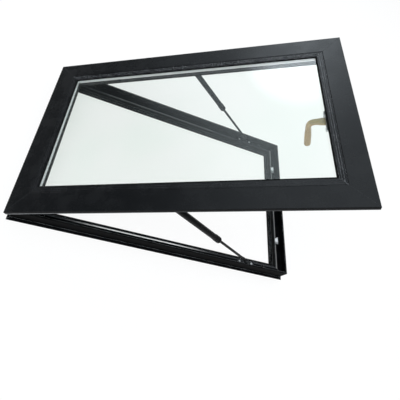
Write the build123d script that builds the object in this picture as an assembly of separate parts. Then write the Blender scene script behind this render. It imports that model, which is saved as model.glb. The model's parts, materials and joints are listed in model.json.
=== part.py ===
from build123d import *
import math
import os

# Top-hung roof skylight: a fixed frame of four mitred aluminium extrusions that sits on
# the roof's curb, and a double-glazed sash hinged at the -X end, held open by two gas
# struts and locked at the +X end by a lever handle.
# Millimetres. Origin: middle of the frame's underside. +X runs from the hinge end to the
# lock end, +Y across, +Z up. Every piece is drawn with the sash shut and is then moved
# to the open position in which the part is stored.

# Frame, seen from outside inwards and from the underside up
frame_length = 976
frame_width = 592
frame_height = 58
frame_wall = 2
skirt_reach = 9
skirt_height = 9
foot_width = 41
foot_height = 11
shelf_width = 36
shelf_height = 20
channel_width = 28
channel_height = 28
lip_width = 4
lip_height = 3
mitre_gap = 0.1

# Curb fixing holes, through the channel floor and the underside
curb_hole_radius = 3.25
curb_access_radius = 6
curb_hole_inset = 88

# Sash, seen from its outer edge inwards and from its top face down
sash_rise = 16
hinge_overhang = 10
lock_overhang = 14
side_overhang = 10
cover_width = 61
cover_thickness = 3
cover_inner_round = 1
drip_depth = 14
seat_depth = 27
seat_width = 80
seat_thickness = 3
leg_outer = 54
leg_inner = 70
leg_depth = 50.5
leg_wall = 2
wing_tip = 41
wing_thickness = 2.4
wing_nose = 1.2
seal_gap = 0.4
open_angle = 35.6

# Slot for the lock bar, in the sash leg's outer face
slot_width = 12.5
slot_depth = 3.8
slot_mouth = 9
slot_lip = 1.2
slot_floor_wall = 1.7
slot_margin = 1.2

# Sealed glass unit
pane_thickness = 5
pane_gap = 12
pane_edge = 66
glass_below_face = 4
spacer_edge = 74
spacer_width = 7
spacer_wall = 1
block_length = 50
block_clearance = 0.2

# Glazing bead and its gasket
bead_edge = 80
bead_fit = 0.3
bead_thickness = 1.6
bead_drop = 1.2
bead_foot_depth = 12
bead_foot_thickness = 2
bead_chamfer = 1.2
bead_grooves = 2
bead_groove_width = 1.4
bead_groove_depth = 0.7
bead_hook_depth = 8
bead_hook_height = 2.4
bead_hook_reach = 0.8
bead_hook_fit = 0.1
sight_line = 85.5
gasket_round = 1
gasket_setback = 1

# Hinges
hinge_setback = 10
hinge_inset = 96
hinge_length = 60
knuckle_radius = 5.5
knuckle_length = 20
knuckle_gap = 0.3
hinge_pin_radius = 3
leaf_thickness = 3
leaf_reach = 14
leaf_heel = 5
web_thickness = 5
pin_play = 0.05

# Gas struts
strut_offset = 17
strut_frame_setback = 175
strut_shut_length = 320
strut_pivot_height = -6
tube_radius = 10
tube_bore = 8.2
tube_start = 20
tube_base_wall = 6
collar_radius = 11.3
collar_length = 30
rod_stub = 42
rod_radius = 4.5
piston_length = 10
eye_radius = 7
eye_thickness = 8
eye_shank_radius = 4
stud_radius = 3
socket_reach = 27
thread_radius = 2.5
thread_length = 8
ear_thickness = 3
ear_gap = 0.4
ear_foot = 40
bracket_thickness = 3
bracket_length = 67
bracket_shift = 10
bracket_width = 16
bracket_screw_pitch = 50
sash_bracket_length = 54
sash_bracket_screw_pitch = 20
strut_end_gap = 0.3

# Screws
screw_radius = 2.4
screw_head_radius = 4
screw_head_height = 2.6
screw_length = 9
screw_recess_radius = 1.6
screw_recess_depth = 1.4
small_screw_radius = 1.6
small_head_radius = 2.6
small_head_height = 1.4
small_screw_length = 7
screw_head_round = 0.6
pilot_skin = 1

# Lock and handle
handle_offset = -14
rosette_length = 72
rosette_height = 20
rosette_thickness = 11
rosette_gap = 0.3
rosette_edge = 2
spindle_side = 7
spindle_fit = 0.1
spindle_hole_radius = 6
neck_length = 50
neck_root_half_width = 9.8
neck_root_half_thickness = 11.5
neck_taper = 28
lever_length = 104
lever_half_width = 10.8
lever_half_thickness = 8.4
lever_bend = 20
lever_lean = 4.5
gear_module = 1
gear_teeth = 11
gearbox_length = 90
gearbox_fit = 0.2
lock_bar_tail = 45
lock_bar_fit = 0.3
keeper_inset = 131
cam_radius = 3.8
cam_stem_radius = 2
cam_reach = 8
cam_head_length = 5
keeper_length = 20
keeper_thickness = 2
keeper_foot = 12
keeper_wall = 25.5
keeper_reach = 36
keeper_clearance = 0.35
keeper_screw_pitch = 11

# Frame gasket
gasket_edge = 0.6
bulb_radius = 3.2
bulb_bore = 1.9
bulb_base = 3
bulb_rise = 1

# Corner cleats
cleat_reach = 40
cleat_fit = 0.3
cleat_wall = 5

# Worked-out places
sash_length = frame_length + hinge_overhang + lock_overhang
sash_width = frame_width + 2 * side_overhang
curb_hole_spacing = frame_length - 2 * curb_hole_inset
hinge_spread = frame_width - 2 * hinge_inset
cam_spread = frame_width - 2 * keeper_inset
lock_bar_length = cam_spread + 2 * lock_bar_tail
hinge_x = -frame_length / 2 + hinge_setback
hinge_z = frame_height
face_z = frame_height + sash_rise
sash_start = -frame_length / 2 - hinge_overhang
sash_middle = sash_start + sash_length / 2
strut_frame_pivot = frame_length / 2 - strut_frame_setback - hinge_x
strut_sash_pivot = strut_frame_pivot - strut_shut_length
tube_reach = strut_shut_length - rod_stub
strut_y = frame_width / 2 - strut_offset
strut_z = hinge_z + strut_pivot_height
glass_depth = 2 * pane_thickness + pane_gap
bulb_top = channel_height + bulb_rise
wing_depth = face_z - bulb_top - seal_gap
slot_bottom = wing_depth - wing_thickness - slot_margin
slot_middle = slot_bottom - slot_width / 2
spindle_depth = seat_depth + seat_thickness + rosette_gap + rosette_height / 2
sash_screw_length = bracket_thickness + cover_thickness - pilot_skin
gear_pitch_radius = gear_module * gear_teeth / 2
bar_travel = gear_pitch_radius * math.pi / 2


def polygon(points):
    """Closed sketch through the given (across, up) points."""
    return make_face(Polyline(*points, close=True))


def round_corner(sketch, point, radius):
    """Fillet the sketch's corner that lies nearest to a point."""
    corner = sketch.vertices().sort_by_distance((point[0], point[1], 0))[0]
    return fillet(corner, radius)


def side_plane(side, length, width, middle_x, level):
    """Plane at the middle of one side: x runs inwards, y up and z along the rail."""
    origin_and_axes = {
        "near": ((middle_x, -width / 2, level), (0, 1, 0), (1, 0, 0)),
        "far": ((middle_x, width / 2, level), (0, -1, 0), (-1, 0, 0)),
        "hinge": ((middle_x - length / 2, 0, level), (1, 0, 0), (0, -1, 0)),
        "lock": ((middle_x + length / 2, 0, level), (-1, 0, 0), (0, 1, 0)),
    }
    origin, inwards, along = origin_and_axes[side]
    return Plane(origin=origin, x_dir=inwards, z_dir=along)


def sash_side(side, level=face_z):
    """Plane of one side of the shut sash, level with its top face."""
    return side_plane(side, sash_length, sash_width, sash_middle, level)


def mitred_rail(sketch, side, length, width, middle_x, level, gap=mitre_gap):
    """One rail of a rectangular frame, with its ends cut at 45 degrees."""
    plane = side_plane(side, length, width, middle_x, level)
    run = length if side in ("near", "far") else width
    outside = 2 * skirt_reach
    rail = extrude(plane * sketch, run / 2 + outside, both=True)
    for end in (1, -1):
        corner = plane.from_local_coords((0, 0, end * (run / 2 - gap)))
        normal = plane.z_dir * end + plane.x_dir
        rail = split(rail, Plane(origin=corner, z_dir=normal), keep=Keep.BOTTOM)
    return rail


def mitred_ring(sketch, length, width, middle_x, level):
    """The same section carried round all four sides as one piece."""
    ring = None
    for side in ("near", "lock", "far", "hinge"):
        rail = mitred_rail(sketch, side, length, width, middle_x, level, gap=0)
        ring = rail if ring is None else ring + rail
    return ring


def opened(shape):
    """Turn a piece of the shut sash up about the hinge axis."""
    axis = Axis((hinge_x, 0, hinge_z), (0, -1, 0))
    return shape.rotate(axis, open_angle)


def save(shape, name):
    """Write one node."""
    export_step(shape, "parts/" + name + ".step")


def group(solids):
    """Separate solids kept in one node."""
    return Compound(children=[solid for piece in solids for solid in piece.solids()])


def frame_section():
    """Frame extrusion: skirt, foot, gasket shelf, strut channel and outer lip."""
    section = polygon([
        (-skirt_reach, 0), (foot_width, 0), (foot_width, foot_height),
        (shelf_width, foot_height), (shelf_width, shelf_height),
        (channel_width, shelf_height), (channel_width, channel_height),
        (frame_wall, channel_height), (frame_wall, frame_height - lip_height),
        (lip_width, frame_height - lip_height), (lip_width, frame_height),
        (0, frame_height), (0, skirt_height), (-skirt_reach, skirt_height),
    ])
    skirt_round = skirt_height / 2 - mitre_gap
    section = round_corner(section, (-skirt_reach, 0), skirt_round)
    section = round_corner(section, (-skirt_reach, skirt_height), skirt_round)
    section = round_corner(section, (0, frame_height), frame_wall / 2)
    section = round_corner(section, (frame_wall, channel_height), frame_wall)
    outer_chamber = polygon([
        (frame_wall, frame_wall), (channel_width - frame_wall, frame_wall),
        (channel_width - frame_wall, channel_height - frame_wall),
        (frame_wall, channel_height - frame_wall),
    ])
    inner_chamber = polygon([
        (channel_width, frame_wall), (foot_width - frame_wall, frame_wall),
        (foot_width - frame_wall, foot_height - frame_wall),
        (shelf_width - frame_wall, foot_height - frame_wall),
        (shelf_width - frame_wall, shelf_height - frame_wall),
        (channel_width, shelf_height - frame_wall),
    ])
    return section - outer_chamber - inner_chamber


def sash_section():
    """Sash extrusion: cover flange with drip edge, glass seat, lower leg and seal wing."""
    slot_top = slot_bottom - slot_width
    mouth_top = slot_middle - slot_mouth / 2
    mouth_bottom = slot_middle + slot_mouth / 2
    slot_floor = leg_outer + slot_depth
    groove_wall = cover_width - bead_hook_reach - bead_hook_fit
    groove_top = bead_hook_fit - bead_hook_depth
    groove_bottom = -bead_hook_depth - bead_hook_height - bead_hook_fit
    section = polygon([
        (0, 0), (cover_width, 0), (cover_width, groove_top), (groove_wall, groove_top),
        (groove_wall, groove_bottom), (cover_width, groove_bottom),
        (cover_width, -seat_depth), (seat_width, -seat_depth),
        (seat_width, -seat_depth - seat_thickness), (leg_inner, -seat_depth - seat_thickness),
        (leg_inner, -leg_depth), (leg_outer, -leg_depth),
        (leg_outer, -wing_depth), (wing_tip + wing_nose, -wing_depth),
        (wing_tip, wing_nose - wing_depth), (wing_tip, wing_thickness - wing_depth),
        (leg_outer, wing_thickness - wing_depth),
        (leg_outer, -mouth_bottom), (leg_outer + slot_lip, -mouth_bottom),
        (leg_outer + slot_lip, -slot_bottom), (slot_floor, -slot_bottom),
        (slot_floor, -slot_top), (leg_outer + slot_lip, -slot_top),
        (leg_outer + slot_lip, -mouth_top), (leg_outer, -mouth_top),
        (leg_outer, -cover_thickness), (cover_thickness, -cover_thickness),
        (cover_thickness, -drip_depth), (0, -drip_depth),
    ])
    section = round_corner(section, (0, 0), cover_thickness / 2)
    section = round_corner(section, (cover_width, 0), cover_inner_round)
    upper_chamber = polygon([
        (leg_outer + leg_wall, -cover_thickness), (cover_width - leg_wall, -cover_thickness),
        (cover_width - leg_wall, -seat_depth), (leg_outer + leg_wall, -seat_depth),
    ])
    lower_chamber = lower_leg_chamber(0)
    return section - upper_chamber - lower_chamber


def lower_leg_chamber(clearance):
    """Hollow of the sash's lower leg, or a bar that fits in it with some clearance."""
    start = leg_outer + slot_depth + slot_floor_wall + clearance
    stop = leg_inner - leg_wall - clearance
    top = -seat_depth - seat_thickness - leg_wall - clearance
    bottom = -leg_depth + leg_wall + clearance
    return polygon([(start, bottom), (stop, bottom), (stop, top), (start, top)])


def corner_cleats(sketch, reach, length, width, middle_x, level):
    """Four L-shaped blocks in the rails' chambers, reaching so far from the corner."""
    ring = mitred_ring(sketch, length, width, middle_x, level)
    cleats = []
    for end_x in (-1, 1):
        for end_y in (-1, 1):
            corner = (middle_x + end_x * length / 2, end_y * width / 2, level)
            cleats.append(ring & Pos(*corner) * Box(2 * reach, 2 * reach, 4 * frame_height))
    return group(cleats)


def screw(length=screw_length, radius=screw_radius, head=screw_head_radius,
          height=screw_head_height):
    """Pan-head screw along -Z, the underside of its head at the origin."""
    top = Cylinder(head, height, align=(Align.CENTER, Align.CENTER, Align.MIN))
    top = fillet(top.edges().group_by(Axis.Z)[-1], height * screw_head_round)
    shank = Pos(0, 0, -length / 2) * Cylinder(radius, length)
    recess = Pos(0, 0, height - screw_recess_depth / 2) * Box(
        2 * screw_recess_radius, screw_recess_radius / 2, screw_recess_depth)
    return top + shank - recess - recess.rotate(Axis.Z, 90)


def small_screw():
    """The smaller screw of the keepers and the rosette."""
    return screw(small_screw_length, small_screw_radius, small_head_radius, small_head_height)


def build_frame():
    """Rails, cleats, gasket and curb holes of the fixed frame."""
    section = frame_section()
    row = (frame_length, frame_width, 0, 0)
    for side in ("hinge", "lock", "near", "far"):
        rail = mitred_rail(section, side, *row)
        if side in ("near", "far"):
            sign = -1 if side == "near" else 1
            for end in (-1, 1):
                hole = Pos(end * curb_hole_spacing / 2, sign * strut_y, 0)
                rail -= hole * Cylinder(curb_hole_radius, 3 * frame_wall)
                access = hole * Pos(0, 0, frame_height / 2 + frame_wall)
                rail -= access * Cylinder(curb_access_radius, frame_height - frame_wall)
            for end in (-1, 1):
                x = frame_bracket_x() + end * bracket_screw_pitch / 2
                rail -= Pos(x, sign * strut_y, channel_height) * Cylinder(
                    screw_radius, 3 * frame_wall)
        if side == "hinge":
            for place in hinge_screw_places():
                rail -= Pos(*place, channel_height) * Cylinder(screw_radius, 3 * frame_wall)
        if side == "lock":
            for place in keeper_screw_places():
                rail -= Pos(*place, channel_height) * Cylinder(
                    small_screw_radius, 3 * frame_wall)
        save(rail, "frame_" + side + "_rail")

    inside = frame_wall + cleat_fit
    core = inside + cleat_wall
    cleat_section = Pos(channel_width / 2, channel_height / 2) * (
        Rectangle(channel_width - 2 * inside, channel_height - 2 * inside)
        - Rectangle(channel_width - 2 * core, channel_height - 2 * core))
    cleats = corner_cleats(cleat_section, channel_width + cleat_reach, *row)
    save(cleats, "frame_corner_cleats")

    gasket_middle = (channel_width + shelf_width) / 2
    half_width = (shelf_width - channel_width) / 2 - gasket_edge
    bulb = Pos(gasket_middle, bulb_top - bulb_radius)
    foot = Pos(gasket_middle, shelf_height + bulb_base / 2) * Rectangle(2 * half_width, bulb_base)
    gasket = foot + bulb * Circle(bulb_radius) - bulb * Circle(bulb_bore)
    save(mitred_ring(gasket, *row), "frame_gasket")


def frame_bracket_x():
    """X of the middle of a strut's bracket on the frame."""
    return hinge_x + strut_frame_pivot + bracket_shift


def hinge_screw_places():
    """(x, y) of the screws that hold the frame leaves of the hinges."""
    x = hinge_x + leaf_reach - screw_head_radius - leaf_thickness / 2
    return [(x, middle + end * hinge_length / 3)
            for middle in (-hinge_spread / 2, hinge_spread / 2) for end in (-1, 1)]


def keeper_places():
    """Y of the two keepers' middles."""
    return (-cam_spread / 2, cam_spread / 2)


def keeper_screw_places():
    """(x, y) of the keepers' screws."""
    x = frame_length / 2 - (keeper_foot + keeper_wall - keeper_thickness) / 2
    return [(x, centre + end * keeper_screw_pitch / 2)
            for centre in keeper_places() for end in (-1, 1)]


def knuckle(middle, length):
    """Hinge knuckle round the hinge axis."""
    barrel = Cylinder(knuckle_radius, length) - Cylinder(hinge_pin_radius + pin_play, length)
    return Pos(hinge_x, middle, hinge_z) * Rot(90, 0, 0) * barrel


def hinge_web(middle, length, low, high):
    """Plate that joins a knuckle to its leaf, cut clear of the hinge pin."""
    web = Pos(hinge_x, middle, (low + high) / 2) * Box(web_thickness, length, high - low)
    return web - Pos(hinge_x, middle, hinge_z) * Rot(90, 0, 0) * Cylinder(
        hinge_pin_radius + pin_play, length)


def build_hinges():
    """Frame leaves, sash leaves, pins and screws of the two hinges."""
    outer_length = (hinge_length - knuckle_length) / 2 - knuckle_gap
    outer_offset = (hinge_length - outer_length) / 2
    cover_under = face_z - cover_thickness
    pins = []
    for name, middle in (("near", -hinge_spread / 2), ("far", hinge_spread / 2)):
        leaf_start = hinge_x - leaf_heel
        plate_length = leaf_reach + leaf_heel
        plate_x = leaf_start + plate_length / 2
        plate_z = channel_height + leaf_thickness / 2
        frame_leaf = Pos(plate_x, middle, plate_z) * Box(plate_length, hinge_length, leaf_thickness)
        for end in (-1, 1):
            y = middle + end * outer_offset
            frame_leaf += hinge_web(y, outer_length, channel_height, hinge_z)
            frame_leaf += knuckle(y, outer_length)
        for x, y in hinge_screw_places():
            frame_leaf -= Pos(x, y, channel_height) * Cylinder(screw_radius, 3 * leaf_thickness)
        frame_leaf -= Pos(hinge_x, middle, hinge_z) * Rot(90, 0, 0) * Cylinder(
            knuckle_radius + knuckle_gap, knuckle_length + 2 * knuckle_gap)
        save(frame_leaf, "hinge_frame_leaf_" + name)

        plate_z = cover_under - leaf_thickness / 2
        sash_leaf = Pos(plate_x, middle, plate_z) * Box(plate_length, hinge_length, leaf_thickness)
        sash_leaf += hinge_web(middle, knuckle_length, hinge_z, cover_under - leaf_thickness / 2)
        sash_leaf += knuckle(middle, knuckle_length)
        for x, y in hinge_screw_places():
            sash_leaf -= Pos(x, y, plate_z) * Cylinder(screw_radius, 3 * leaf_thickness)
        save(opened(sash_leaf), "hinge_sash_leaf_" + name)

        pin = Cylinder(hinge_pin_radius, hinge_length)
        pins.append(Pos(hinge_x, middle, hinge_z) * Rot(90, 0, 0) * pin)
    save(group(pins), "hinge_pins")


def build_sash():
    """Rails, cleats, beads and gaskets of the sash."""
    row = (sash_length, sash_width, sash_middle, face_z)
    section = sash_section()
    wall_x = sash_start + sash_length - leg_inner
    for side in ("hinge", "lock", "near", "far"):
        rail = mitred_rail(section, side, *row)
        if side == "lock":
            spindle = Pos(wall_x, handle_offset, face_z - spindle_depth) * Rot(0, 90, 0)
            rail -= spindle * Cylinder(spindle_hole_radius, 3 * leg_wall)
            for end in (-1, 1):
                hole = spindle * Pos(0, end * rosette_screw_offset(), 0)
                rail -= hole * Cylinder(small_screw_radius, 3 * leg_wall)
        rail = pilot_sash_holes(rail, side)
        save(opened(rail), "sash_" + side + "_rail")
        save(opened(mitred_rail(bead_section(), side, *row)), "bead_" + side)
    cleats = corner_cleats(lower_leg_chamber(cleat_fit), leg_inner + cleat_reach, *row)
    save(opened(cleats), "sash_corner_cleats")

    glass_top = -glass_below_face
    lip = bead_edge + bead_fit
    outer_gasket = polygon([
        (spacer_edge, glass_top), (sight_line, glass_top),
        (sight_line - gasket_round, glass_top + gasket_round),
        (lip, bead_under(bead_edge) + gasket_round), (lip, bead_under(bead_edge)),
        (bead_edge, bead_under(bead_edge)), (spacer_edge, bead_under(spacer_edge)),
    ])
    save(opened(mitred_ring(outer_gasket, *row)), "outer_glazing_gasket")
    inner_gasket = polygon([
        (pane_edge, -seat_depth), (seat_width - gasket_setback, -seat_depth),
        (seat_width - gasket_setback, glass_top - glass_depth), (pane_edge, glass_top - glass_depth),
    ])
    save(opened(mitred_ring(inner_gasket, *row)), "inner_glazing_gasket")


def pilot_sash_holes(rail, side):
    """Screw holes in the cover flange, under the hinge leaves and the strut brackets."""
    under = face_z - cover_thickness
    depth = cover_thickness - pilot_skin
    if side == "hinge":
        for x, y in hinge_screw_places():
            rail -= Pos(x, y, under + depth / 2) * Cylinder(screw_radius, depth)
    if side in ("near", "far"):
        sign = -1 if side == "near" else 1
        for x in sash_bracket_screws():
            rail -= Pos(x, sign * strut_y, under + depth / 2) * Cylinder(screw_radius, depth)
    return rail


def bead_under(across):
    """Level of the bead's sloping underside at a distance from the sash's edge."""
    slope = bead_drop / (bead_edge - cover_width)
    return -bead_fit - bead_thickness - slope * (across - cover_width)


def bead_section():
    """Snap-in glazing bead: a sloping grooved cap, and a foot that hooks into the sash."""
    foot = cover_width + bead_foot_thickness
    hook = cover_width - bead_hook_reach
    hook_bottom = -bead_hook_depth - bead_hook_height
    section = polygon([
        (cover_width, -bead_fit - bead_chamfer), (cover_width + bead_chamfer, -bead_fit),
        (bead_edge, -bead_fit - bead_drop), (bead_edge, bead_under(bead_edge)),
        (foot, bead_under(foot)), (foot, -bead_foot_depth),
        (cover_width, -bead_foot_depth), (cover_width, hook_bottom),
        (hook, -bead_hook_depth - bead_hook_fit), (hook, -bead_hook_depth),
        (cover_width, -bead_hook_depth),
    ])
    cap_start = cover_width + bead_chamfer
    cap_width = bead_edge - cap_start
    for number in range(1, bead_grooves + 1):
        share = number / (bead_grooves + 1)
        groove = Rectangle(bead_groove_width, 2 * bead_groove_depth)
        section -= Pos(cap_start + share * cap_width, -bead_fit - share * bead_drop) * groove
    return section


def build_glass():
    """Two panes, the spacer bar, its sealant and the setting blocks."""
    length = sash_length - 2 * pane_edge
    width = sash_width - 2 * pane_edge
    row = (sash_length, sash_width, sash_middle, face_z)
    top = -glass_below_face
    for name, depth in (("outer_pane", 0), ("inner_pane", pane_thickness + pane_gap)):
        middle_z = face_z + top - depth - pane_thickness / 2
        pane = Pos(sash_middle, 0, middle_z) * Box(length, width, pane_thickness)
        save(opened(pane), name)
    upper = top - pane_thickness
    lower = upper - pane_gap
    spacer_inner = spacer_edge + spacer_width
    spacer = polygon([(spacer_edge, upper), (spacer_inner, upper),
                      (spacer_inner, lower), (spacer_edge, lower)])
    hollow = polygon([
        (spacer_edge + spacer_wall, upper - spacer_wall),
        (spacer_inner - spacer_wall, upper - spacer_wall),
        (spacer_inner - spacer_wall, lower + spacer_wall),
        (spacer_edge + spacer_wall, lower + spacer_wall),
    ])
    save(opened(mitred_ring(spacer - hollow, *row)), "spacer_bar")
    sealant = polygon([(pane_edge, upper), (spacer_edge, upper),
                       (spacer_edge, lower), (pane_edge, lower)])
    save(opened(mitred_ring(sealant, *row)), "pane_edge_seal")

    block_width = pane_edge - cover_width - 2 * block_clearance
    block_top = -bead_foot_depth - block_clearance
    block_height = seat_depth + block_top
    block = Box(block_width, block_height, block_length)
    across = cover_width + block_clearance + block_width / 2
    blocks = []
    for side, places in (("near", (-1, 1)), ("far", (-1, 1)), ("hinge", (0,)), ("lock", (0,))):
        for place in places:
            along = place * length / 4
            local = Pos(across, block_top - block_height / 2, along)
            blocks.append(sash_side(side).location * local * block)
    save(opened(group(blocks)), "setting_blocks")


def sash_bracket_screws():
    """X of the screws that hold a strut bracket to the sash."""
    first = hinge_x + strut_sash_pivot - sash_bracket_length / 2
    return (first + sash_bracket_screw_pitch / 2, first - sash_bracket_screw_pitch / 2)


def bracket_ear(pivot_x, ear_y, floor):
    """Upright of a frame bracket: a gusset that narrows to a round head at the pivot."""
    half = ear_foot / 2
    low = floor - strut_z
    gusset = polygon([(-half, low), (half, low), (eye_radius, 0), (-eye_radius, 0)])
    profile = gusset + Circle(eye_radius)
    plane = Plane(origin=(pivot_x, ear_y, strut_z), x_dir=(1, 0, 0), z_dir=(0, -1, 0))
    return extrude(plane * profile, ear_thickness / 2, both=True)


def build_brackets():
    """Strut brackets on the frame and the sash, with their screws and pins."""
    ear_offset = eye_thickness / 2 + ear_gap
    frame_x = hinge_x + strut_frame_pivot
    sash_x = hinge_x + strut_sash_pivot
    cover_under = face_z - cover_thickness
    frame_screws = []
    sash_screws = []
    sash_pins = []
    for name, sign in (("near", -1), ("far", 1)):
        y = sign * strut_y
        base = Pos(frame_bracket_x(), y, channel_height + bracket_thickness / 2) * Box(
            bracket_length, bracket_width, bracket_thickness)
        base = fillet(base.edges().filter_by(Axis.Z), bracket_width / 4)
        ear_y = y + sign * (bracket_width / 2 - ear_thickness / 2)
        base += bracket_ear(frame_x, ear_y, channel_height)
        for end in (-1, 1):
            place = Pos(frame_bracket_x() + end * bracket_screw_pitch / 2, y,
                        channel_height + bracket_thickness)
            base -= place * Cylinder(screw_radius, 3 * bracket_thickness)
            frame_screws.append(place * screw())
        save(base, "strut_frame_bracket_" + name)

        plate_middle = sash_x - sash_bracket_length / 2 + eye_radius
        plate_z = cover_under - bracket_thickness / 2
        clevis = Pos(plate_middle, y, plate_z) * Box(
            sash_bracket_length, bracket_width, bracket_thickness)
        for ear_side in (-1, 1):
            ear_y = y + ear_side * (ear_offset + ear_thickness / 2)
            ear_height = cover_under - strut_z
            clevis += Pos(sash_x, ear_y, strut_z + ear_height / 2) * Box(
                2 * eye_radius, ear_thickness, ear_height)
            clevis += Pos(sash_x, ear_y, strut_z) * Rot(90, 0, 0) * Cylinder(
                eye_radius, ear_thickness)
        clevis -= Pos(sash_x, y, strut_z) * Rot(90, 0, 0) * Cylinder(
            stud_radius + pin_play, 2 * bracket_width)
        for x in sash_bracket_screws():
            place = Pos(x, y, cover_under - bracket_thickness)
            clevis -= place * Cylinder(screw_radius, 3 * bracket_thickness)
            sash_screws.append(place * Rot(180, 0, 0) * screw(sash_screw_length))
        save(opened(clevis), "strut_sash_bracket_" + name)
        pin_length = 2 * (ear_offset + ear_thickness)
        sash_pins.append(Pos(sash_x, y, strut_z) * Rot(90, 0, 0) * Cylinder(
            stud_radius, pin_length))

    for x, y in hinge_screw_places():
        frame_screws.append(Pos(x, y, channel_height + leaf_thickness) * screw())
        under_leaf = Pos(x, y, cover_under - leaf_thickness) * Rot(180, 0, 0)
        sash_screws.append(under_leaf * screw(sash_screw_length))
    save(group(frame_screws), "frame_screws")
    save(opened(group(sash_screws)), "sash_screws")
    save(opened(group(sash_pins)), "strut_sash_pins")


def strut_pose():
    """Sash pivot of the open sash, the strut's slope in degrees and its length."""
    turn = math.radians(open_angle)
    pivot_x = strut_sash_pivot * math.cos(turn) - strut_pivot_height * math.sin(turn)
    pivot_z = strut_sash_pivot * math.sin(turn) + strut_pivot_height * math.cos(turn)
    run = strut_frame_pivot - pivot_x
    drop = pivot_z - strut_pivot_height
    length = math.hypot(run, drop)
    return pivot_x, pivot_z, math.degrees(math.atan2(drop, run)), length


def along_x(shape, start):
    """Lay a piece that was drawn upwards from the origin along +X from a start."""
    return Pos(start, 0, 0) * Rot(0, 90, 0) * shape


def rising_cylinder(radius, length):
    """Cylinder that stands on the origin."""
    return Cylinder(radius, length, align=(Align.CENTER, Align.CENTER, Align.MIN))


def build_struts():
    """Gas struts, each with its eye, tube, guide collar, piston, rod, socket and stud."""
    pivot_x, pivot_z, slope, length = strut_pose()
    tube_end = tube_reach - collar_length
    eye_ring = Rot(90, 0, 0) * Cylinder(eye_radius, eye_thickness)

    eye = eye_ring + along_x(rising_cylinder(eye_shank_radius, tube_start), 0)
    eye += along_x(rising_cylinder(thread_radius, tube_start + thread_length / 2), 0)
    eye -= Rot(90, 0, 0) * Cylinder(stud_radius + pin_play, 2 * eye_thickness)

    tube = along_x(rising_cylinder(tube_radius, tube_end - tube_start), tube_start)
    tube = fillet(tube.edges().sort_by(Axis.X)[0], tube_radius / 4)
    cavity = along_x(rising_cylinder(tube_bore, tube_end), tube_start + tube_base_wall)
    tube -= cavity
    tube -= along_x(rising_cylinder(thread_radius, thread_length / 2), tube_start)

    collar = along_x(rising_cylinder(collar_radius, collar_length), tube_end)
    collar = chamfer(collar.edges().sort_by(Axis.X)[-1], collar_radius / 4)
    bore_start = tube_end - collar_length / 2
    collar -= along_x(rising_cylinder(rod_radius + pin_play, 2 * collar_length), bore_start)

    rod_end = length - socket_reach
    rod_start = tube_end - piston_length
    rod = along_x(rising_cylinder(rod_radius, rod_end - rod_start), rod_start)
    rod += along_x(rising_cylinder(thread_radius, thread_length), rod_end)
    piston = along_x(rising_cylinder(tube_bore - pin_play, piston_length),
                     rod_start - piston_length)
    piston = chamfer(piston.edges(), piston_length / 10)

    socket = along_x(rising_cylinder(eye_shank_radius, socket_reach), rod_end)
    socket = chamfer(socket.edges().sort_by(Axis.X)[0], eye_shank_radius / 5)
    socket += Pos(length, 0, 0) * eye_ring
    socket -= along_x(rising_cylinder(thread_radius, thread_length), rod_end)
    socket -= Pos(length, 0, 0) * Rot(90, 0, 0) * Cylinder(
        stud_radius + pin_play, 2 * eye_thickness)

    inner_face = -eye_thickness / 2
    outer_face = bracket_width / 2 - ear_thickness - strut_end_gap
    stud = Rot(-90, 0, 0) * rising_cylinder(stud_radius, outer_face - inner_face)
    stud = Pos(length, inner_face, 0) * stud

    for name, sign in (("near", -1), ("far", 1)):
        place = Pos(hinge_x + pivot_x, sign * strut_y, hinge_z + pivot_z) * Rot(0, slope, 0)
        turned = stud if sign > 0 else mirror(stud, Plane.XZ)
        pieces = (("eye", eye), ("tube", tube), ("collar", collar), ("piston", piston),
                  ("rod", rod), ("socket", socket), ("stud", turned))
        for piece_name, piece in pieces:
            save(place * piece, "strut_" + piece_name + "_" + name)


def rosette_screw_offset():
    """Distance of the rosette's screws from the spindle."""
    return rosette_length / 2 - rosette_height / 2


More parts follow.
